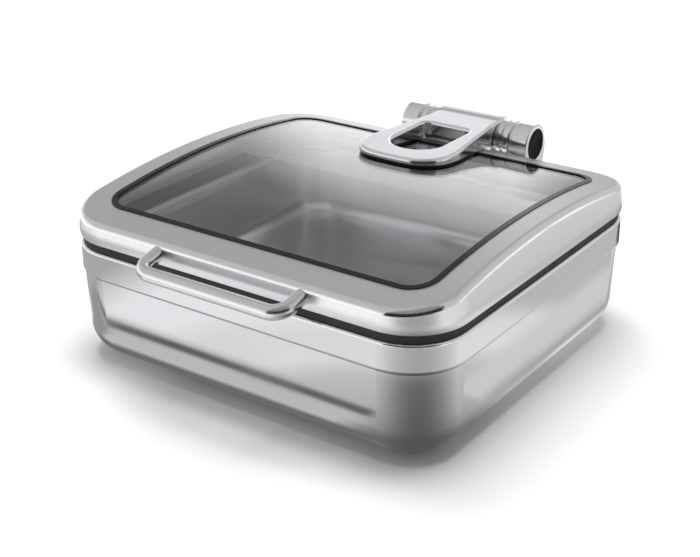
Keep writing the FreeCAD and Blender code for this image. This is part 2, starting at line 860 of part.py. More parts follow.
def bracket_screws():
    """Row of dome-head screws that hold the bracket."""
    screws = []
    for x in bracket_screw_places():
        y = body_half_y + bracket_thickness
        head = pin(bracket_head_radius, x, y, bracket_middle(), bracket_head_height)
        edges = [e for e in head.Edges if e.BoundBox.YMin > y + bracket_head_height - tiny]
        head = head.makeFillet(bracket_head_edge, edges)
        screws.append(head.fuse(bracket_shank(x)).removeSplitter())
    return Part.makeCompound(screws)


def parts():
    """Every sub-part by name."""
    return {
        "body_shell": body_shell(),
        "induction_base": induction_base(),
        "rim_frame": rim_frame(),
        "rim_seal": rim_seal(),
        "food_pan": food_pan(),
        "hinge_bracket": hinge_bracket(),
        "bracket_backing_plate": backing_plate(),
        "bracket_screws": bracket_screws(),
        "hinge_shaft": hinge_shaft(),
        "hinge_collar_right": hinge_collar(),
        "hinge_collar_left": mirrored(hinge_collar()),
        "hinge_washers": hinge_washers(),
        "damper_rotors": damper_rotors(),
        "end_cap_right": end_cap(),
        "end_cap_left": mirrored(end_cap()),
        "lid_frame": lid_frame(),
        "glass_retainer": glass_retainer(),
        "glass_gasket": glass_gasket(),
        "lid_glass": lid_glass(),
        "lid_handle": lid_handle(),
        "handle_screws": handle_screws(),
        "hinge_yoke": hinge_yoke(),
        "yoke_pad": yoke_pad(),
        "clamp_pad": clamp_pad(),
        "clamp_plate": clamp_plate(),
        "yoke_screws": yoke_screws(),
        "glass_sleeves": glass_sleeves(),
        "hinge_bushes": hinge_bushes(),
        "damper_housings": damper_housings(),
    }


os.makedirs("parts", exist_ok=True)
for name, shape in parts().items():
    shape.exportStep("parts/" + name + ".step")
    print(name, len(shape.Solids), round(shape.Volume), shape.isValid())
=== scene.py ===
import math

import bpy
from mathutils import Matrix, Vector

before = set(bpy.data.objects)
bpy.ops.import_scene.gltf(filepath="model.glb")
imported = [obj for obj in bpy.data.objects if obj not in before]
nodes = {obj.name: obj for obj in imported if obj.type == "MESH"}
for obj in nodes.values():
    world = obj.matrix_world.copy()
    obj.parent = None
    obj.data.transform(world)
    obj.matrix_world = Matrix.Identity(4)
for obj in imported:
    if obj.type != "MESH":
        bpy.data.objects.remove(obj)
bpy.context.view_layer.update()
scene = bpy.context.scene
print("frame loaded:", len(nodes), "pieces")


# the camera, worked out from the outline in the photograph
cameraView = {
    "azimuth": 35.23,
    "elevation": 24.56,
    "roll": -0.374,
    "distance": 1.3638,
    "target": (-0.01228, 0.00721, 0.05409),
    "lens": 69.83,
    "sensor": 36,
    "near": 0.05,
    "far": 60,
}


def placeCamera(view):
    az = math.radians(view["azimuth"])
    el = math.radians(view["elevation"])
    roll = math.radians(view["roll"])
    back = Vector((math.sin(az) * math.cos(el), -math.cos(az) * math.cos(el), math.sin(el)))
    right = Vector((math.cos(az), math.sin(az), 0))
    up = back.cross(right)
    rolledRight = right * math.cos(roll) + up * math.sin(roll)
    rolledUp = up * math.cos(roll) - right * math.sin(roll)
    data = bpy.data.cameras.new("camera")
    data.lens = view["lens"]
    data.sensor_width = view["sensor"]
    data.clip_start = view["near"]
    data.clip_end = view["far"]
    camera = bpy.data.objects.new("camera", data)
    scene.collection.objects.link(camera)
    turn = Matrix((rolledRight, rolledUp, back)).transposed().to_4x4()
    camera.matrix_world = Matrix.Translation(Vector(view["target"]) + back * view["distance"]) @ turn
    scene.camera = camera


placeCamera(cameraView)
print("camera placed")


# small helpers for node trees
def addNode(tree, kind, x=0, y=0, **settings):
    node = tree.nodes.new(kind)
    node.location = (x, y)
    for key, value in settings.items():
        setattr(node, key, value)
    return node


def join(tree, source, target):
    tree.links.new(source, target)


def newGroup(name, inputs, outputs):
    tree = bpy.data.node_groups.new(name, "ShaderNodeTree")
    for label, kind, value in inputs:
        socket = tree.interface.new_socket(label, in_out="INPUT", socket_type=kind)
        socket.default_value = value
    for label, kind in outputs:
        tree.interface.new_socket(label, in_out="OUTPUT", socket_type=kind)
    start = addNode(tree, "NodeGroupInput", -900, 0)
    end = addNode(tree, "NodeGroupOutput", 700, 0)
    return tree, start, end


def mathNode(tree, operation, a, b, x=0, y=0, clamp=False):
    node = addNode(tree, "ShaderNodeMath", x, y, operation=operation, use_clamp=clamp)
    for i, value in enumerate((a, b)):
        if value is None:
            continue
        if isinstance(value, (int, float)):
            node.inputs[i].default_value = value
        else:
            join(tree, value, node.inputs[i])
    return node.outputs[0]


def mixColour(tree, mask, a, b, x=0, y=0):
    node = addNode(tree, "ShaderNodeMix", x, y, data_type="RGBA")
    join(tree, mask, node.inputs["Factor"])
    for socket, value in ((node.inputs[6], a), (node.inputs[7], b)):
        if isinstance(value, tuple):
            socket.default_value = value
        else:
            join(tree, value, socket)
    return node.outputs[2]


def blend(tree, mask, a, b, x=0, y=0):
    node = addNode(tree, "ShaderNodeMix", x, y, data_type="FLOAT")
    join(tree, mask, node.inputs["Factor"])
    join(tree, a, node.inputs[2])
    join(tree, b, node.inputs[3])
    return node.outputs[0]


def rgba(colour):
    return (colour[0], colour[1], colour[2], 1)


def rectangle(halfX, halfY):
    corners = [(-halfX, -halfY, 0), (halfX, -halfY, 0), (halfX, halfY, 0), (-halfX, halfY, 0)]
    return corners, [(0, 1, 2, 3)]


# effects that several materials share, with what none of them sets for itself
polishing = {"fineDetail": 3.0, "driftScale": 9.0, "driftDetail": 2.0, "depth": 0.00004}
handling = {"detail": 5.0, "distortion": 0.6, "from": 0.5, "to": 0.72}
edgeWear = {"samples": 4, "contrast": 6.0}
moulding = {"slowScale": 60.0, "slowShare": 0.2, "depth": 0.00006}


def makePolishing():
    # fine directional marks of a polishing wheel, with a slow drift over the sheet
    tree, start, end = newGroup(
        "polishingMarks",
        [
            ("Stretch", "NodeSocketVector", (60, 60, 900)),
            ("Roughness", "NodeSocketFloat", 0.12),
            ("Spread", "NodeSocketFloat", 0.04),
            ("Seed", "NodeSocketFloat", 0.0),
        ],
        [("Roughness", "NodeSocketFloat"), ("Height", "NodeSocketFloat")],
    )
    place = addNode(tree, "ShaderNodeTexCoord", -900, -300)
    stretched = addNode(tree, "ShaderNodeVectorMath", -700, -100, operation="MULTIPLY")
    join(tree, place.outputs["Object"], stretched.inputs[0])
    join(tree, start.outputs["Stretch"], stretched.inputs[1])
    fine = addNode(tree, "ShaderNodeTexNoise", -500, -100, noise_dimensions="4D")
    fine.inputs["Scale"].default_value = 1.0
    fine.inputs["Detail"].default_value = polishing["fineDetail"]
    join(tree, stretched.outputs[0], fine.inputs["Vector"])
    join(tree, start.outputs["Seed"], fine.inputs["W"])
    drift = addNode(tree, "ShaderNodeTexNoise", -500, -400)
    drift.inputs["Scale"].default_value = polishing["driftScale"]
    drift.inputs["Detail"].default_value = polishing["driftDetail"]
    join(tree, place.outputs["Object"], drift.inputs["Vector"])
    both = mathNode(tree, "ADD", fine.outputs["Fac"], drift.outputs["Fac"], -280, -200)
    centred = mathNode(tree, "SUBTRACT", both, 1.0, -100, -200)
    scaled = mathNode(tree, "MULTIPLY", centred, start.outputs["Spread"], 80, -200)
    rough = mathNode(tree, "ADD", scaled, start.outputs["Roughness"], 260, -100, clamp=True)
    join(tree, rough, end.inputs["Roughness"])
    join(tree, fine.outputs["Fac"], end.inputs["Height"])
    return tree


def makeHandling():
    # soft blotches left by hands and steam
    tree, start, end = newGroup(
        "handlingMarks",
        [("Scale", "NodeSocketFloat", 22.0), ("Amount", "NodeSocketFloat", 0.5)],
        [("Mask", "NodeSocketFloat")],
    )
    place = addNode(tree, "ShaderNodeTexCoord", -900, -300)
    noise = addNode(tree, "ShaderNodeTexNoise", -600, -100)
    noise.inputs["Detail"].default_value = handling["detail"]
    noise.inputs["Distortion"].default_value = handling["distortion"]
    join(tree, place.outputs["Object"], noise.inputs["Vector"])
    join(tree, start.outputs["Scale"], noise.inputs["Scale"])
    ramp = addNode(tree, "ShaderNodeMapRange", -350, -100)
    ramp.interpolation_type = "SMOOTHSTEP"
    ramp.inputs["From Min"].default_value = handling["from"]
    ramp.inputs["From Max"].default_value = handling["to"]
    join(tree, noise.outputs["Fac"], ramp.inputs["Value"])
    mask = mathNode(tree, "MULTIPLY", ramp.outputs[0], start.outputs["Amount"], -100, -100)
    join(tree, mask, end.inputs["Mask"])
    return tree


def makeEdges():
    # where an edge is worn a little brighter
    tree, start, end = newGroup(
        "edgeWear",
        [("Radius", "NodeSocketFloat", 0.0008), ("Amount", "NodeSocketFloat", 1.0)],
        [("Mask", "NodeSocketFloat"), ("Normal", "NodeSocketVector")],
    )
    bevel = addNode(tree, "ShaderNodeBevel", -600, -100, samples=edgeWear["samples"])
    join(tree, start.outputs["Radius"], bevel.inputs["Radius"])
    surface = addNode(tree, "ShaderNodeNewGeometry", -600, -300)
    dot = addNode(tree, "ShaderNodeVectorMath", -400, -200, operation="DOT_PRODUCT")
    join(tree, bevel.outputs[0], dot.inputs[0])
    join(tree, surface.outputs["Normal"], dot.inputs[1])
    away = mathNode(tree, "SUBTRACT", 1.0, dot.outputs["Value"], -200, -200, clamp=True)
    strong = mathNode(tree, "MULTIPLY", away, edgeWear["contrast"], 0, -200, clamp=True)
    mask = mathNode(tree, "MULTIPLY", strong, start.outputs["Amount"], 200, -200)
    join(tree, mask, end.inputs["Mask"])
    join(tree, bevel.outputs[0], end.inputs["Normal"])
    return tree


def makeMoulding():
    # the fine pebbled skin of moulded rubber and plastic
    tree, start, end = newGroup(
        "mouldedSkin",
        [("Scale", "NodeSocketFloat", 1400.0), ("Roughness", "NodeSocketFloat", 0.5)],
        [("Roughness", "NodeSocketFloat"), ("Height", "NodeSocketFloat")],
    )
    place = addNode(tree, "ShaderNodeTexCoord", -900, -300)
    pebbles = addNode(tree, "ShaderNodeTexVoronoi", -600, -100)
    join(tree, place.outputs["Object"], pebbles.inputs["Vector"])
    join(tree, start.outputs["Scale"], pebbles.inputs["Scale"])
    slow = addNode(tree, "ShaderNodeTexNoise", -600, -400)
    slow.inputs["Scale"].default_value = moulding["slowScale"]
    join(tree, place.outputs["Object"], slow.inputs["Vector"])
    spread = mathNode(tree, "MULTIPLY", slow.outputs["Fac"], moulding["slowShare"], -350, -300)
    rough = mathNode(tree, "ADD", spread, start.outputs["Roughness"], -150, -200, clamp=True)
    join(tree, rough, end.inputs["Roughness"])
    join(tree, pebbles.outputs["Distance"], end.inputs["Height"])
    return tree


def makeFacingUp():
    # how far a surface faces upwards, for a band with its own finish
    tree, start, end = newGroup(
        "facingUp",
        [("Low", "NodeSocketFloat", 0.8), ("High", "NodeSocketFloat", 0.95)],
        [("Mask", "NodeSocketFloat")],
    )
    place = addNode(tree, "ShaderNodeTexCoord", -900, -300)
    split = addNode(tree, "ShaderNodeSeparateXYZ", -650, -200)
    join(tree, place.outputs["Normal"], split.inputs[0])
    ramp = addNode(tree, "ShaderNodeMapRange", -350, -100)
    ramp.interpolation_type = "SMOOTHSTEP"
    join(tree, split.outputs["Z"], ramp.inputs["Value"])
    join(tree, start.outputs["Low"], ramp.inputs["From Min"])
    join(tree, start.outputs["High"], ramp.inputs["From Max"])
    join(tree, ramp.outputs[0], end.inputs["Mask"])
    return tree


effects = {
    "facingUp": makeFacingUp(),
    "polishing": makePolishing(),
    "handling": makeHandling(),
    "edges": makeEdges(),
    "moulding": makeMoulding(),
}
print("effects built:", len(effects))


def startMaterial(name):
    material = bpy.data.materials.new(name)
    material.use_nodes = True
    tree = material.node_tree
    tree.nodes.clear()
    output = addNode(tree, "ShaderNodeOutputMaterial", 900, 0)
    shader = addNode(tree, "ShaderNodeBsdfPrincipled", 600, 0)
    join(tree, shader.outputs[0], output.inputs["Surface"])
    return material, tree, shader


def placeEffect(tree, effect, x, y, **values):
    node = addNode(tree, "ShaderNodeGroup", x, y)
    node.node_tree = effects[effect]
    for label, value in values.items():
        node.inputs[label].default_value = value
    return node


def metalMaterial(name, look):
    material, tree, shader = startMaterial(name)
    shader.inputs["Metallic"].default_value = 1.0
    marks = placeEffect(
        tree, "polishing", -700, -100,
        Stretch=look["stretch"], Roughness=look["roughness"], Spread=look["spread"], Seed=look["seed"],
    )
    hands = placeEffect(tree, "handling", -700, -350, Scale=look["blotches"], Amount=look["handling"])
    edges = placeEffect(tree, "edges", -700, 250, Radius=look["edge"], Amount=look["worn"])
    colour = mixColour(tree, hands.outputs["Mask"], rgba(look["colour"]), rgba(look["dull"]), -450, 100)
    rough = marks.outputs["Roughness"]
    if "band" in look:
        # the upper face has its own finish and a darker colour, which is painted shade; both take over
        # where it is level enough
        band = look["band"]
        top = placeEffect(tree, "facingUp", -700, 500, Low=band["low"], High=band["high"])
        brushed = placeEffect(
            tree, "polishing", -700, 750,
            Stretch=band["stretch"], Roughness=band["roughness"], Spread=band["spread"],
            Seed=look["seed"],
        )
        colour = mixColour(tree, top.outputs["Mask"], colour, rgba(band["colour"]), -200, 300)
        rough = blend(tree, top.outputs["Mask"], rough, brushed.outputs["Roughness"], -200, 500)
    if "upright" in look:
        # the upright part is duller than the crease above it
        upright = look["upright"]
        side = placeEffect(tree, "facingUp", -700, 1000, Low=upright["low"], High=upright["high"])
        duller = placeEffect(
            tree, "polishing", -700, 1250,
            Stretch=look["stretch"], Roughness=upright["roughness"], Spread=look["spread"],
            Seed=look["seed"],
        )
        rough = blend(tree, side.outputs["Mask"], rough, duller.outputs["Roughness"], -200, 750)
    worn = mixColour(tree, edges.outputs["Mask"], colour, rgba(look["bright"]), 50, 150)
    join(tree, worn, shader.inputs["Base Color"])
    smear = mathNode(tree, "MULTIPLY", hands.outputs["Mask"], look["smear"], -200, -350)
    join(tree, mathNode(tree, "ADD", rough, smear, 50, -250, clamp=True), shader.inputs["Roughness"])
    bump = addNode(tree, "ShaderNodeBump", 300, -300)
    bump.inputs["Strength"].default_value = look["bump"]
    bump.inputs["Distance"].default_value = polishing["depth"]
    join(tree, marks.outputs["Height"], bump.inputs["Height"])
    join(tree, edges.outputs["Normal"], bump.inputs["Normal"])
    join(tree, bump.outputs[0], shader.inputs["Normal"])
    return material


def mouldedMaterial(name, look):
    material, tree, shader = startMaterial(name)
    shader.inputs["Specular IOR Level"].default_value = look["specular"]
    skin = placeEffect(tree, "moulding", -500, -100, Scale=look["pebbles"], Roughness=look["roughness"])
    dust = placeEffect(tree, "handling", -500, -350, Scale=look["blotches"], Amount=look["dust"])
    edges = placeEffect(tree, "edges", -500, 200, Radius=look["edge"], Amount=look["worn"])
    faded = mixColour(tree, dust.outputs["Mask"], rgba(look["colour"]), rgba(look["faded"]), -200, 0)
    rubbed = mixColour(tree, edges.outputs["Mask"], faded, rgba(look["rubbed"]), 50, 100)
    join(tree, rubbed, shader.inputs["Base Color"])
    join(tree, skin.outputs["Roughness"], shader.inputs["Roughness"])
    bump = addNode(tree, "ShaderNodeBump", 300, -300)
    bump.inputs["Strength"].default_value = look["bump"]
    bump.inputs["Distance"].default_value = moulding["depth"]
    join(tree, skin.outputs["Height"], bump.inputs["Height"])
    join(tree, edges.outputs["Normal"], bump.inputs["Normal"])
    join(tree, bump.outputs[0], shader.inputs["Normal"])
    return material


def dress(material, *names):
    for name in names:
        mesh = nodes[name].data
        mesh.materials.clear()
        mesh.materials.append(material)


# body: polished stainless sheet, with faint lines round it
shellLook = {
    "colour": (0.84, 0.84, 0.85), "dull": (0.78, 0.78, 0.79), "bright": (0.92, 0.92, 0.93),
    "stretch": (30, 30, 700), "roughness": 0.1, "spread": 0.05, "seed": 1.0, "worn": 0.5,
    "blotches": 14.0, "handling": 0.3, "smear": 0.05, "edge": 0.0007, "bump": 0.04,
}
dress(metalMaterial("polishedShell", shellLook), "body_shell")

# lid: the crease is polished, the skirt below it duller, and the band round the glass brushed; the band's
# darker colour is painted shade
lidLook = dict(shellLook, seed=4.0, stretch=(60, 60, 500), roughness=0.09)
lidLook["band"] = {
    "colour": (0.73, 0.73, 0.74), "stretch": (30, 700, 60), "roughness": 0.48, "spread": 0.07,
    "low": 0.93, "high": 0.975,
}
lidLook["upright"] = {"roughness": 0.3, "low": 0.34, "high": 0.12}
dress(metalMaterial("polishedLid", lidLook), "lid_frame")

# pressed frames inside
frameLook = {
    "colour": (0.78, 0.78, 0.79), "dull": (0.72, 0.72, 0.73), "bright": (0.88, 0.88, 0.89),
    "stretch": (60, 60, 400), "roughness": 0.16, "spread": 0.05, "seed": 7.0, "worn": 0.6,
    "blotches": 18.0, "handling": 0.3, "smear": 0.05, "edge": 0.0006, "bump": 0.04,
}
dress(metalMaterial("pressedFrame", frameLook), "rim_frame", "glass_retainer")

# food pan: satin drawn sheet
panLook = {
    "colour": (0.75, 0.75, 0.76), "dull": (0.70, 0.70, 0.71), "bright": (0.88, 0.88, 0.89),
    "stretch": (90, 90, 500), "roughness": 0.3, "spread": 0.05, "seed": 11.0, "worn": 0.7,
    "blotches": 16.0, "handling": 0.35, "smear": 0.06, "edge": 0.0006, "bump": 0.04,
}
dress(metalMaterial("satinPan", panLook), "food_pan")

# induction base: ground plate
baseLook = {
    "colour": (0.60, 0.60, 0.61), "dull": (0.48, 0.47, 0.46), "bright": (0.72, 0.72, 0.72),
    "stretch": (900, 30, 60), "roughness": 0.38, "spread": 0.16, "seed": 13.0, "worn": 0.8,
    "blotches": 30.0, "handling": 0.8, "smear": 0.12, "edge": 0.0008, "bump": 0.3,
}
dress(metalMaterial("groundBase", baseLook), "induction_base")

# hinge castings, polished and slightly dulled
hingeLook = {
    "colour": (0.87, 0.87, 0.88), "dull": (0.81, 0.81, 0.82), "bright": (0.93, 0.93, 0.94),
    "stretch": (60, 60, 60), "roughness": 0.16, "spread": 0.03, "seed": 17.0, "worn": 0.8,
    "blotches": 40.0, "handling": 0.3, "smear": 0.05, "edge": 0.0009, "bump": 0.02,
}
dress(metalMaterial("chromedCasting", dict(hingeLook, roughness=0.2)), "hinge_bracket")

# the yoke's level top is rubbed to a satin, and its colour is darkened there: painted shade on the top
yokeLook = dict(hingeLook)
yokeLook["band"] = {
    "colour": (0.54, 0.54, 0.55), "stretch": (500, 60, 60), "roughness": 0.32, "spread": 0.06,
    "low": 0.985, "high": 0.998,
}
dress(metalMaterial("satinYokeShadedTop", yokeLook), "hinge_yoke")

# grooved rings, turned on a lathe
collarLook = dict(hingeLook, stretch=(900, 40, 40), roughness=0.18, seed=19.0, bump=0.08)
dress(metalMaterial("turnedCollar", collarLook), "hinge_collar_left", "hinge_collar_right")

# handle bar
handleLook = dict(
    hingeLook, colour=(0.79, 0.79, 0.80), stretch=(40, 500, 500), roughness=0.2, seed=23.0,
    handling=0.5, bump=0.04,
)
dress(metalMaterial("polishedBar", handleLook), "lid_handle")

# plates and shaft
plateLook = {
    "colour": (0.66, 0.66, 0.67), "dull": (0.54, 0.54, 0.54), "bright": (0.78, 0.78, 0.78),
    "stretch": (600, 60, 60), "roughness": 0.3, "spread": 0.12, "seed": 29.0, "worn": 0.8,
    "blotches": 50.0, "handling": 0.6, "smear": 0.1, "edge": 0.0005, "bump": 0.2,
}
dress(metalMaterial("plainPlate", plateLook), "bracket_backing_plate", "clamp_plate", "hinge_shaft")

# screws and washers
screwLook = dict(
    plateLook, colour=(0.74, 0.74, 0.75), bright=(0.86, 0.86, 0.86), roughness=0.2, seed=31.0, edge=0.0003,
)
dress(
    metalMaterial("brightScrew", screwLook),
    "bracket_screws", "handle_screws", "yoke_screws", "hinge_washers",
)

# seals and pads
sealLook = {
    "colour": (0.03, 0.03, 0.031), "faded": (0.05, 0.05, 0.052), "rubbed": (0.06, 0.06, 0.06),
    "roughness": 0.5, "pebbles": 1500.0, "blotches": 30.0, "dust": 0.5, "edge": 0.0004,
    "worn": 0.5, "bump": 0.12, "specular": 0.4,
}
dress(mouldedMaterial("rimSeal", sealLook), "rim_seal")

gasketLook = dict(
    sealLook, colour=(0.003, 0.003, 0.0035), faded=(0.008, 0.008, 0.009), roughness=0.14,
    specular=0.36, dust=0.3,
)
dress(mouldedMaterial("glassGasket", gasketLook), "glass_gasket")

padLook = dict(sealLook, colour=(0.02, 0.02, 0.021), roughness=0.5)
dress(mouldedMaterial("yokePad", padLook), "yoke_pad", "clamp_pad")

# moulded plastics
capLook = dict(sealLook, colour=(0.006, 0.006, 0.007), roughness=0.4, pebbles=2200.0, specular=0.06)
dress(mouldedMaterial("endCap", capLook), "end_cap_left", "end_cap_right")

bushLook = dict(
    sealLook, colour=(0.72, 0.70, 0.65), faded=(0.62, 0.60, 0.54), rubbed=(0.8, 0.79, 0.75), specular=0.5,
)
dress(mouldedMaterial("bushPlastic", bushLook), "hinge_bushes", "glass_sleeves")

damperLook = dict(
    sealLook, colour=(0.10, 0.10, 0.11), faded=(0.16, 0.16, 0.17), rubbed=(0.2, 0.2, 0.21), roughness=0.45,
)
dress(mouldedMaterial("damperPlastic", damperLook), "damper_housings", "damper_rotors")

# glass: clear and toughened, with a faint film
glassLook = {
    "colour": (0.95, 0.958, 0.963), "film": (0.92, 0.93, 0.937), "ior": 1.52, "roughness": 0.012,
    "smear": 0.03, "blotches": 12.0,
}


def glassMaterial(name, look):
    material, tree, shader = startMaterial(name)
    shader.inputs["Transmission Weight"].default_value = 1.0
    shader.inputs["IOR"].default_value = look["ior"]
    film = placeEffect(tree, "handling", -500, -350, Scale=look["blotches"], Amount=1.0)
    tint = mixColour(tree, film.outputs["Mask"], rgba(look["colour"]), rgba(look["film"]), -200, 100)
    join(tree, tint, shader.inputs["Base Color"])
    smear = mathNode(tree, "MULTIPLY", film.outputs["Mask"], look["smear"], -200, -350)
    join(tree, mathNode(tree, "ADD", smear, look["roughness"], 50, -250), shader.inputs["Roughness"])
    return material


dress(glassMaterial("lidGlass", glassLook), "lid_glass")
print("materials assigned")


# studio: a pale floor, a pale surround and two soft lamps
# floorLift and shadowFade hold two distances, each followed by its strength; the fade is painted light
# that thins the object's shadow, and counts its distance from the rectangle that shadowMiddle and
# shadowHalf give
studio = {
    "floorSize": 14.0, "floorDrop": 0.0002, "floorColour": (0.892, 0.895, 0.91), "floorRoughness": 0.8,
    "floorSpecular": 0.1, "floorLift": (0.25, 0.0, 2.25, 0.75), "shadowMiddle": (0.095, -0.0575, 0.0),
    "shadowHalf": (0.145, 0.1475, 1.0), "shadowFade": (0.0, 0.0, 0.1, 0.09), "worldDiffuse": 0.335,
}
keyLamp = {"size": (1.8, 0.8), "place": (-0.24, 0.25, 2.2), "power": 31.5}
topLamp = {"size": (1.1, 1.1), "place": (0.06, -0.14, 2.5), "power": 19.5}

# reflection cards: their paper, the brightest tone of a run, and how soon a round card turns sideways
cardLook = {"paper": (0.98, 0.985, 1.0), "brightest": 4.0, "sideways": 1.5}


def spanNode(tree, value, span, x, y):
    node = addNode(tree, "ShaderNodeMapRange", x, y)
    join(tree, value, node.inputs["Value"])
    for label, amount in zip(("From Min", "To Min", "From Max", "To Max"), span):
        node.inputs[label].default_value = amount
    return node.outputs[0]


def seenByEye(tree, x, y):
    # camera, mirror and glass rays meet the pale studio
    path = addNode(tree, "ShaderNodeLightPath", x, y)
    eye = mathNode(tree, "ADD", path.outputs["Is Camera Ray"], path.outputs["Is Glossy Ray"], x + 200, y)
    return mathNode(tree, "ADD", eye, path.outputs["Is Transmission Ray"], x + 400, y, clamp=True)


def buildFloor(settings):
    half = settings["floorSize"] / 2
    mesh = bpy.data.meshes.new("floor")
    corners, faces = rectangle(half, half)
    mesh.from_pydata(corners, [], faces)
    floor = bpy.data.objects.new("floor", mesh)
    floor.location.z = -settings["floorDrop"]
    scene.collection.objects.link(floor)
    material, tree, shader = startMaterial("paleFloor")
    shader.inputs["Base Color"].default_value = rgba(settings["floorColour"])
    shader.inputs["Roughness"].default_value = settings["floorRoughness"]
    shader.inputs["Specular IOR Level"].default_value = settings["floorSpecular"]
    shader.inputs["Emission Color"].default_value = (1, 1, 1, 1)
    # the lamps fade away from the object, and the paper gets its white back there
    place = addNode(tree, "ShaderNodeTexCoord", -900, -500)
    away = addNode(tree, "ShaderNodeVectorMath", -650, -500, operation="LENGTH")
    join(tree, place.outputs["Object"], away.inputs[0])
    lift = spanNode(tree, away.outputs["Value"], settings["floorLift"], -400, -500)
    # painted light: the floor glows more with the distance from a rectangle on the floor, so the object's
    # shadow fades out there
    offset = addNode(tree, "ShaderNodeVectorMath", -650, -750, operation="SUBTRACT")
    join(tree, place.outputs["Object"], offset.inputs[0])
    offset.inputs[1].default_value = settings["shadowMiddle"]
    spread = addNode(tree, "ShaderNodeVectorMath", -500, -750, operation="ABSOLUTE")
    join(tree, offset.outputs[0], spread.inputs[0])
    beyond = addNode(tree, "ShaderNodeVectorMath", -350, -750, operation="SUBTRACT")
    join(tree, spread.outputs[0], beyond.inputs[0])
    beyond.inputs[1].default_value = settings["shadowHalf"]
    outside = addNode(tree, "ShaderNodeVectorMath", -200, -750, operation="MAXIMUM")
    join(tree, beyond.outputs[0], outside.inputs[0])
    distance = addNode(tree, "ShaderNodeVectorMath", -50, -750, operation="LENGTH")
    join(tree, outside.outputs[0], distance.inputs[0])
    fade = spanNode(tree, distance.outputs["Value"], settings["shadowFade"], 100, -750)
    fade.node.interpolation_type = "SMOOTHSTEP"
    lift = mathNode(tree, "ADD", lift, fade, 250, -500)
    eye = seenByEye(tree, -600, -200)
    join(tree, mathNode(tree, "MULTIPLY", eye, lift, 400, -200), shader.inputs["Emission Strength"])
    material.cycles.emission_sampling = "NONE"
    mesh.materials.append(material)


def buildWorld(settings):
    world = bpy.data.worlds.new("studio")
    scene.world = world
    world.use_nodes = True
    tree = world.node_tree
    tree.nodes.clear()
    output = addNode(tree, "ShaderNodeOutputWorld", 600, 0)
    background = addNode(tree, "ShaderNodeBackground", 400, 0)
    background.inputs["Color"].default_value = (1, 1, 1, 1)
    eye = seenByEye(tree, -800, 0)
    mix = addNode(tree, "ShaderNodeMapRange", 100, 0)
    mix.inputs["To Min"].default_value = settings["worldDiffuse"]
    mix.inputs["To Max"].default_value = 1.0
    join(tree, eye, mix.inputs["Value"])
    join(tree, mix.outputs[0], background.inputs["Strength"])
    join(tree, background.outputs[0], output.inputs["Surface"])


def buildLamp(name, settings):
    data = bpy.data.lights.new(name, "AREA")
    data.shape = "RECTANGLE"
    data.size, data.size_y = settings["size"]
    data.energy = settings["power"]
    lamp = bpy.data.objects.new(name, data)
    lamp.location = settings["place"]
    lamp.visible_glossy = False
    lamp.visible_transmission = False
    scene.collection.objects.link(lamp)


def cardObject(name, points, faces):
    # painted reflections: grey paper that glows on its own and shows only in the polished metal and the
    # glass
    mesh = bpy.data.meshes.new(name)
    mesh.from_pydata(points, [], faces)
    card = bpy.data.objects.new(name, mesh)
    scene.collection.objects.link(card)
    card.visible_camera = False
    card.visible_diffuse = False
    card.visible_shadow = False
    return card


def cardMaterial(card):
    # clear to a ray that hasn't met a mirror yet, so the backdrop stays white through the glass
    material = bpy.data.materials.new(card.name)
    material.use_nodes = True
    material.cycles.emission_sampling = "NONE"
    tree = material.node_tree
    tree.nodes.clear()
    output = addNode(tree, "ShaderNodeOutputMaterial", 900, 0)
    clear = addNode(tree, "ShaderNodeBsdfTransparent", 300, 150)
    paper = addNode(tree, "ShaderNodeEmission", 300, -50)
    paper.inputs["Color"].default_value = rgba(cardLook["paper"])
    both = addNode(tree, "ShaderNodeMixShader", 600, 0)
    join(tree, clear.outputs[0], both.inputs[1])
    join(tree, paper.outputs[0], both.inputs[2])
    join(tree, both.outputs[0], output.inputs["Surface"])
    path = addNode(tree, "ShaderNodeLightPath", -600, 300)
    seen = mathNode(tree, "MINIMUM", path.outputs["Glossy Depth"], 1.0, -300, 300)
    place = addNode(tree, "ShaderNodeTexCoord", -900, -100)
    card.data.materials.append(material)
    return tree, both.inputs["Fac"], paper.inputs["Strength"], seen, place.outputs["Object"]


def toneRun(tree, value, stops, x, y):
    # a ramp through tones, which go past 1 where the dome glows
    ramp = addNode(tree, "ShaderNodeValToRGB", x, y)
    elements = ramp.color_ramp.elements
    while len(elements) < len(stops):
        elements.new(0.5)
    for element, (at, tone) in zip(elements, stops):
        element.position = max(0, at)
        element.color = rgba([tone / cardLook["brightest"]] * 3)
    join(tree, value, ramp.inputs["Fac"])
    return mathNode(tree, "MULTIPLY", ramp.outputs["Color"], cardLook["brightest"], x + 250, y)


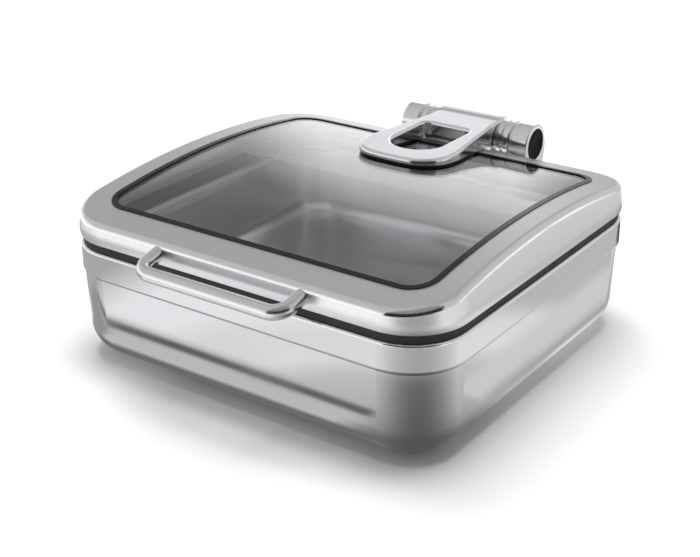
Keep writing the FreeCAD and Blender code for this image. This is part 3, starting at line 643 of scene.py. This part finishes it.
def skyCard(name, azimuths, tones, radius=3.0, fade=0.0):
    # a patch of a dome, its two ends fading out; tones holds an elevation and a tone for each stop, from
    # its lower to its upper edge
    elevations = (tones[0][0], tones[-1][0])
    half = (azimuths[1] - azimuths[0]) / 2
    across, upwards = 24, 12
    points, faces = [], []
    for j in range(upwards + 1):
        el = math.radians(elevations[0] + (elevations[1] - elevations[0]) * j / upwards)
        for i in range(across + 1):
            az = math.radians(half * (2 * i / across - 1))
            level = radius * math.cos(el)
            points.append((level * math.sin(az), -level * math.cos(az), radius * math.sin(el)))
    for j in range(upwards):
        for i in range(across):
            a = j * (across + 1) + i
            faces.append((a, a + 1, a + across + 2, a + across + 1))
    card = cardObject(name, points, faces)
    card.rotation_euler.z = math.radians(azimuths[0] + half)
    tree, cover, strength, seen, place = cardMaterial(card)
    split = addNode(tree, "ShaderNodeSeparateXYZ", -650, -100)
    join(tree, place, split.inputs[0])
    if fade:
        ahead = mathNode(tree, "MULTIPLY", split.outputs["Y"], -1.0, -500, 500)
        turned = mathNode(tree, "ARCTAN2", split.outputs["X"], ahead, -350, 500)
        away = mathNode(tree, "ABSOLUTE", turned, None, -200, 500)
        inside = mathNode(tree, "SUBTRACT", math.radians(half), away, -50, 500)
        edge = mathNode(tree, "DIVIDE", inside, math.radians(fade), 100, 500, clamp=True)
        seen = mathNode(tree, "MULTIPLY", edge, seen, 250, 400)
    join(tree, seen, cover)
    share = mathNode(tree, "DIVIDE", split.outputs["Z"], radius, -500, -100)
    angle = mathNode(tree, "ARCSINE", share, None, -400, -100)
    height = mathNode(tree, "DIVIDE", angle, math.pi / 2, -250, -100, clamp=True)
    join(tree, toneRun(tree, height, [(at / 90, tone) for at, tone in tones], -100, -100), strength)


def floorCard(name, centre, half, tone, soft, lift):
    # a sheet just above the floor, its sides and its ends fading out over their own widths
    hx, hy = half
    card = cardObject(name, *rectangle(hx, hy))
    card.location = (centre[0], centre[1], lift)
    tree, cover, strength, seen, place = cardMaterial(card)
    strength.default_value = tone
    split = addNode(tree, "ShaderNodeSeparateXYZ", -700, -100)
    join(tree, place, split.inputs[0])
    edges = []
    for i, (axis, reach) in enumerate((("X", hx), ("Y", hy))):
        away = mathNode(tree, "ABSOLUTE", split.outputs[axis], None, -500, -200 * i)
        inside = mathNode(tree, "SUBTRACT", reach, away, -300, -200 * i)
        edges.append(mathNode(tree, "DIVIDE", inside, soft[i], -100, -200 * i, clamp=True))
    edge = mathNode(tree, "MULTIPLY", edges[0], edges[1], 50, -100)
    join(tree, mathNode(tree, "MULTIPLY", edge, seen, 150, 200), cover)


def roundCard(name, centre, radius, soft, lift, facing, sideways, azimuth=45.0):
    # a round sheet: two runs of tones from its middle outwards, one towards the azimuth and one across it
    card = cardObject(name, *rectangle(radius, radius))
    card.location = (centre[0], centre[1], lift)
    tree, cover, strength, seen, place = cardMaterial(card)
    length = addNode(tree, "ShaderNodeVectorMath", -850, -300, operation="LENGTH")
    join(tree, place, length.inputs[0])
    away = length.outputs["Value"]
    outwards = mathNode(tree, "DIVIDE", away, radius, -650, -300, clamp=True)
    tones = []
    for i, stops in enumerate((facing, sideways)):
        shares = [(at / radius, tone) for at, tone in stops]
        tones.append(toneRun(tree, outwards, shares, -450, -200 - 300 * i))
    az = math.radians(azimuth)
    dot = addNode(tree, "ShaderNodeVectorMath", -850, 100, operation="DOT_PRODUCT")
    join(tree, place, dot.inputs[0])
    dot.inputs[1].default_value = (math.sin(az), -math.cos(az), 0)
    cosine = mathNode(tree, "DIVIDE", dot.outputs["Value"], away, -650, 100)
    aside = mathNode(tree, "SUBTRACT", 1.0, cosine, -450, 100)
    turned = mathNode(tree, "MULTIPLY", aside, cardLook["sideways"], -300, 100, clamp=True)
    join(tree, mixColour(tree, turned, tones[0], tones[1], -100, -200), strength)
    inside = mathNode(tree, "SUBTRACT", radius, away, -650, 300)
    edge = mathNode(tree, "DIVIDE", inside, soft, -450, 300, clamp=True)
    join(tree, mathNode(tree, "MULTIPLY", edge, seen, 150, 200), cover)


buildFloor(studio)
buildWorld(studio)
buildLamp("keyLamp", keyLamp)
buildLamp("topLamp", topLamp)

# dome of glowing grey paper that paints the reflected surround: azimuth 0 is in front of the handle and 90
# to the right
skyCard("cameraSide", azimuths=(-12, 82), tones=((-3, 0.02), (36, 0.04), (37, 0.25), (90, 0.35)))
skyCard("frontLeft", azimuths=(-100, -12), tones=((6, 1.1), (16, 1.05), (24, 0.62), (60, 0.56), (90, 0.5)))
skyCard("right", azimuths=(82, 112), tones=((0.5, 0.65), (90, 0.5)))
skyCard("backRight", azimuths=(112, 178), tones=((6, 0.72), (14, 0.63), (40, 0.6), (90, 0.25)))
skyCard(
    "back", azimuths=(178, 260),
    tones=((2, 0.8), (14, 0.8), (22, 0.7), (28, 0.5), (34, 0.43), (60, 0.52), (90, 0.5)),
)
# painted highlight: backGlow glows brighter than white and stands in for a softbox, seen only in
# reflections
skyCard(
    "backGlow", azimuths=(193, 222.5), radius=2.9, fade=7.0,
    tones=((2, 1.5), (13, 1.75), (22, 1.75), (29, 1.25), (35, 0.6), (41, 0.15)),
)
skyCard("backRightNear", azimuths=(136, 193), radius=0.7, fade=8.0, tones=((2, 0.66), (30, 0.62)))

# glowing sheets on the floor, which paint the reflected bands on the walls
floorCard("frontFar", centre=(-0.1, -0.385), half=(0.4, 0.145), tone=0.93, soft=(0.05, 0.02), lift=0.0006)
floorCard("frontNear", centre=(-0.1, -0.215), half=(0.22, 0.05), tone=0.58, soft=(0.03, 0.01), lift=0.0011)
# painted reflection: frontStrip paints a dark line across the front wall
floorCard(
    "frontStrip", centre=(-0.095, -0.2485), half=(0.215, 0.0075), tone=0.1, soft=(0.015, 0.004),
    lift=0.0014,
)
# painted shadow: this sheet lies mostly under the front wall and paints the object's contact shadow into
# the reflections
floorCard(
    "frontFootShadow", centre=(-0.05, -0.16), half=(0.205, 0.042), tone=0.17, soft=(0.02, 0.012), lift=0.0013,
)
# painted shade: this sheet is darkest round its middle, at the right front corner, and paints the shade
# there into the corner's reflections
roundCard(
    "cornerShadePaper", centre=(0.155, -0.14), radius=0.34, soft=0.05, lift=0.0009,
    facing=((0.06, 0.10), (0.12, 0.13), (0.18, 0.16), (0.22, 0.43), (0.3, 0.43)),
    sideways=((0.06, 0.2), (0.12, 0.5), (0.18, 0.6), (0.22, 0.85), (0.3, 0.8)),
)
floorCard("rightNear", centre=(0.22, 0.3), half=(0.02, 0.36), tone=0.46, soft=(0.012, 0.012), lift=0.0014)
floorCard("rightMid", centre=(0.25, 0.3), half=(0.022, 0.36), tone=0.70, soft=(0.012, 0.012), lift=0.0011)
floorCard("rightHorizon", centre=(1.4, 0.8), half=(0.8, 1.1), tone=0.69, soft=(0.2, 0.2), lift=0.0005)
floorCard("rightFar", centre=(0.40, 0.3), half=(0.18, 0.37), tone=0.55, soft=(0.03, 0.03), lift=0.0008)
# painted shadow: this sheet paints the shade on the floor beside the left front corner into the
# reflections
floorCard("leftFootShadow", centre=(-0.265, -0.2), half=(0.075, 0.06), tone=0.34, soft=(0.03, 0.03), lift=0.0015)
floorCard("leftSide", centre=(-0.48, -0.25), half=(0.25, 0.3), tone=0.45, soft=(0.09, 0.08), lift=0.0007)
floorCard("backCorner", centre=(0.17, 0.44), half=(0.11, 0.1), tone=0.1, soft=(0.04, 0.04), lift=0.0016)
cameraTone = ((0, 0.36), (0.6, 0.36))
roundCard(
    "cameraPaper", centre=(0.69, -0.78), radius=0.6, soft=0.15, lift=0.0004,
    facing=cameraTone, sideways=cameraTone,
)
print("studio built")

scene.view_settings.view_transform = "Standard"
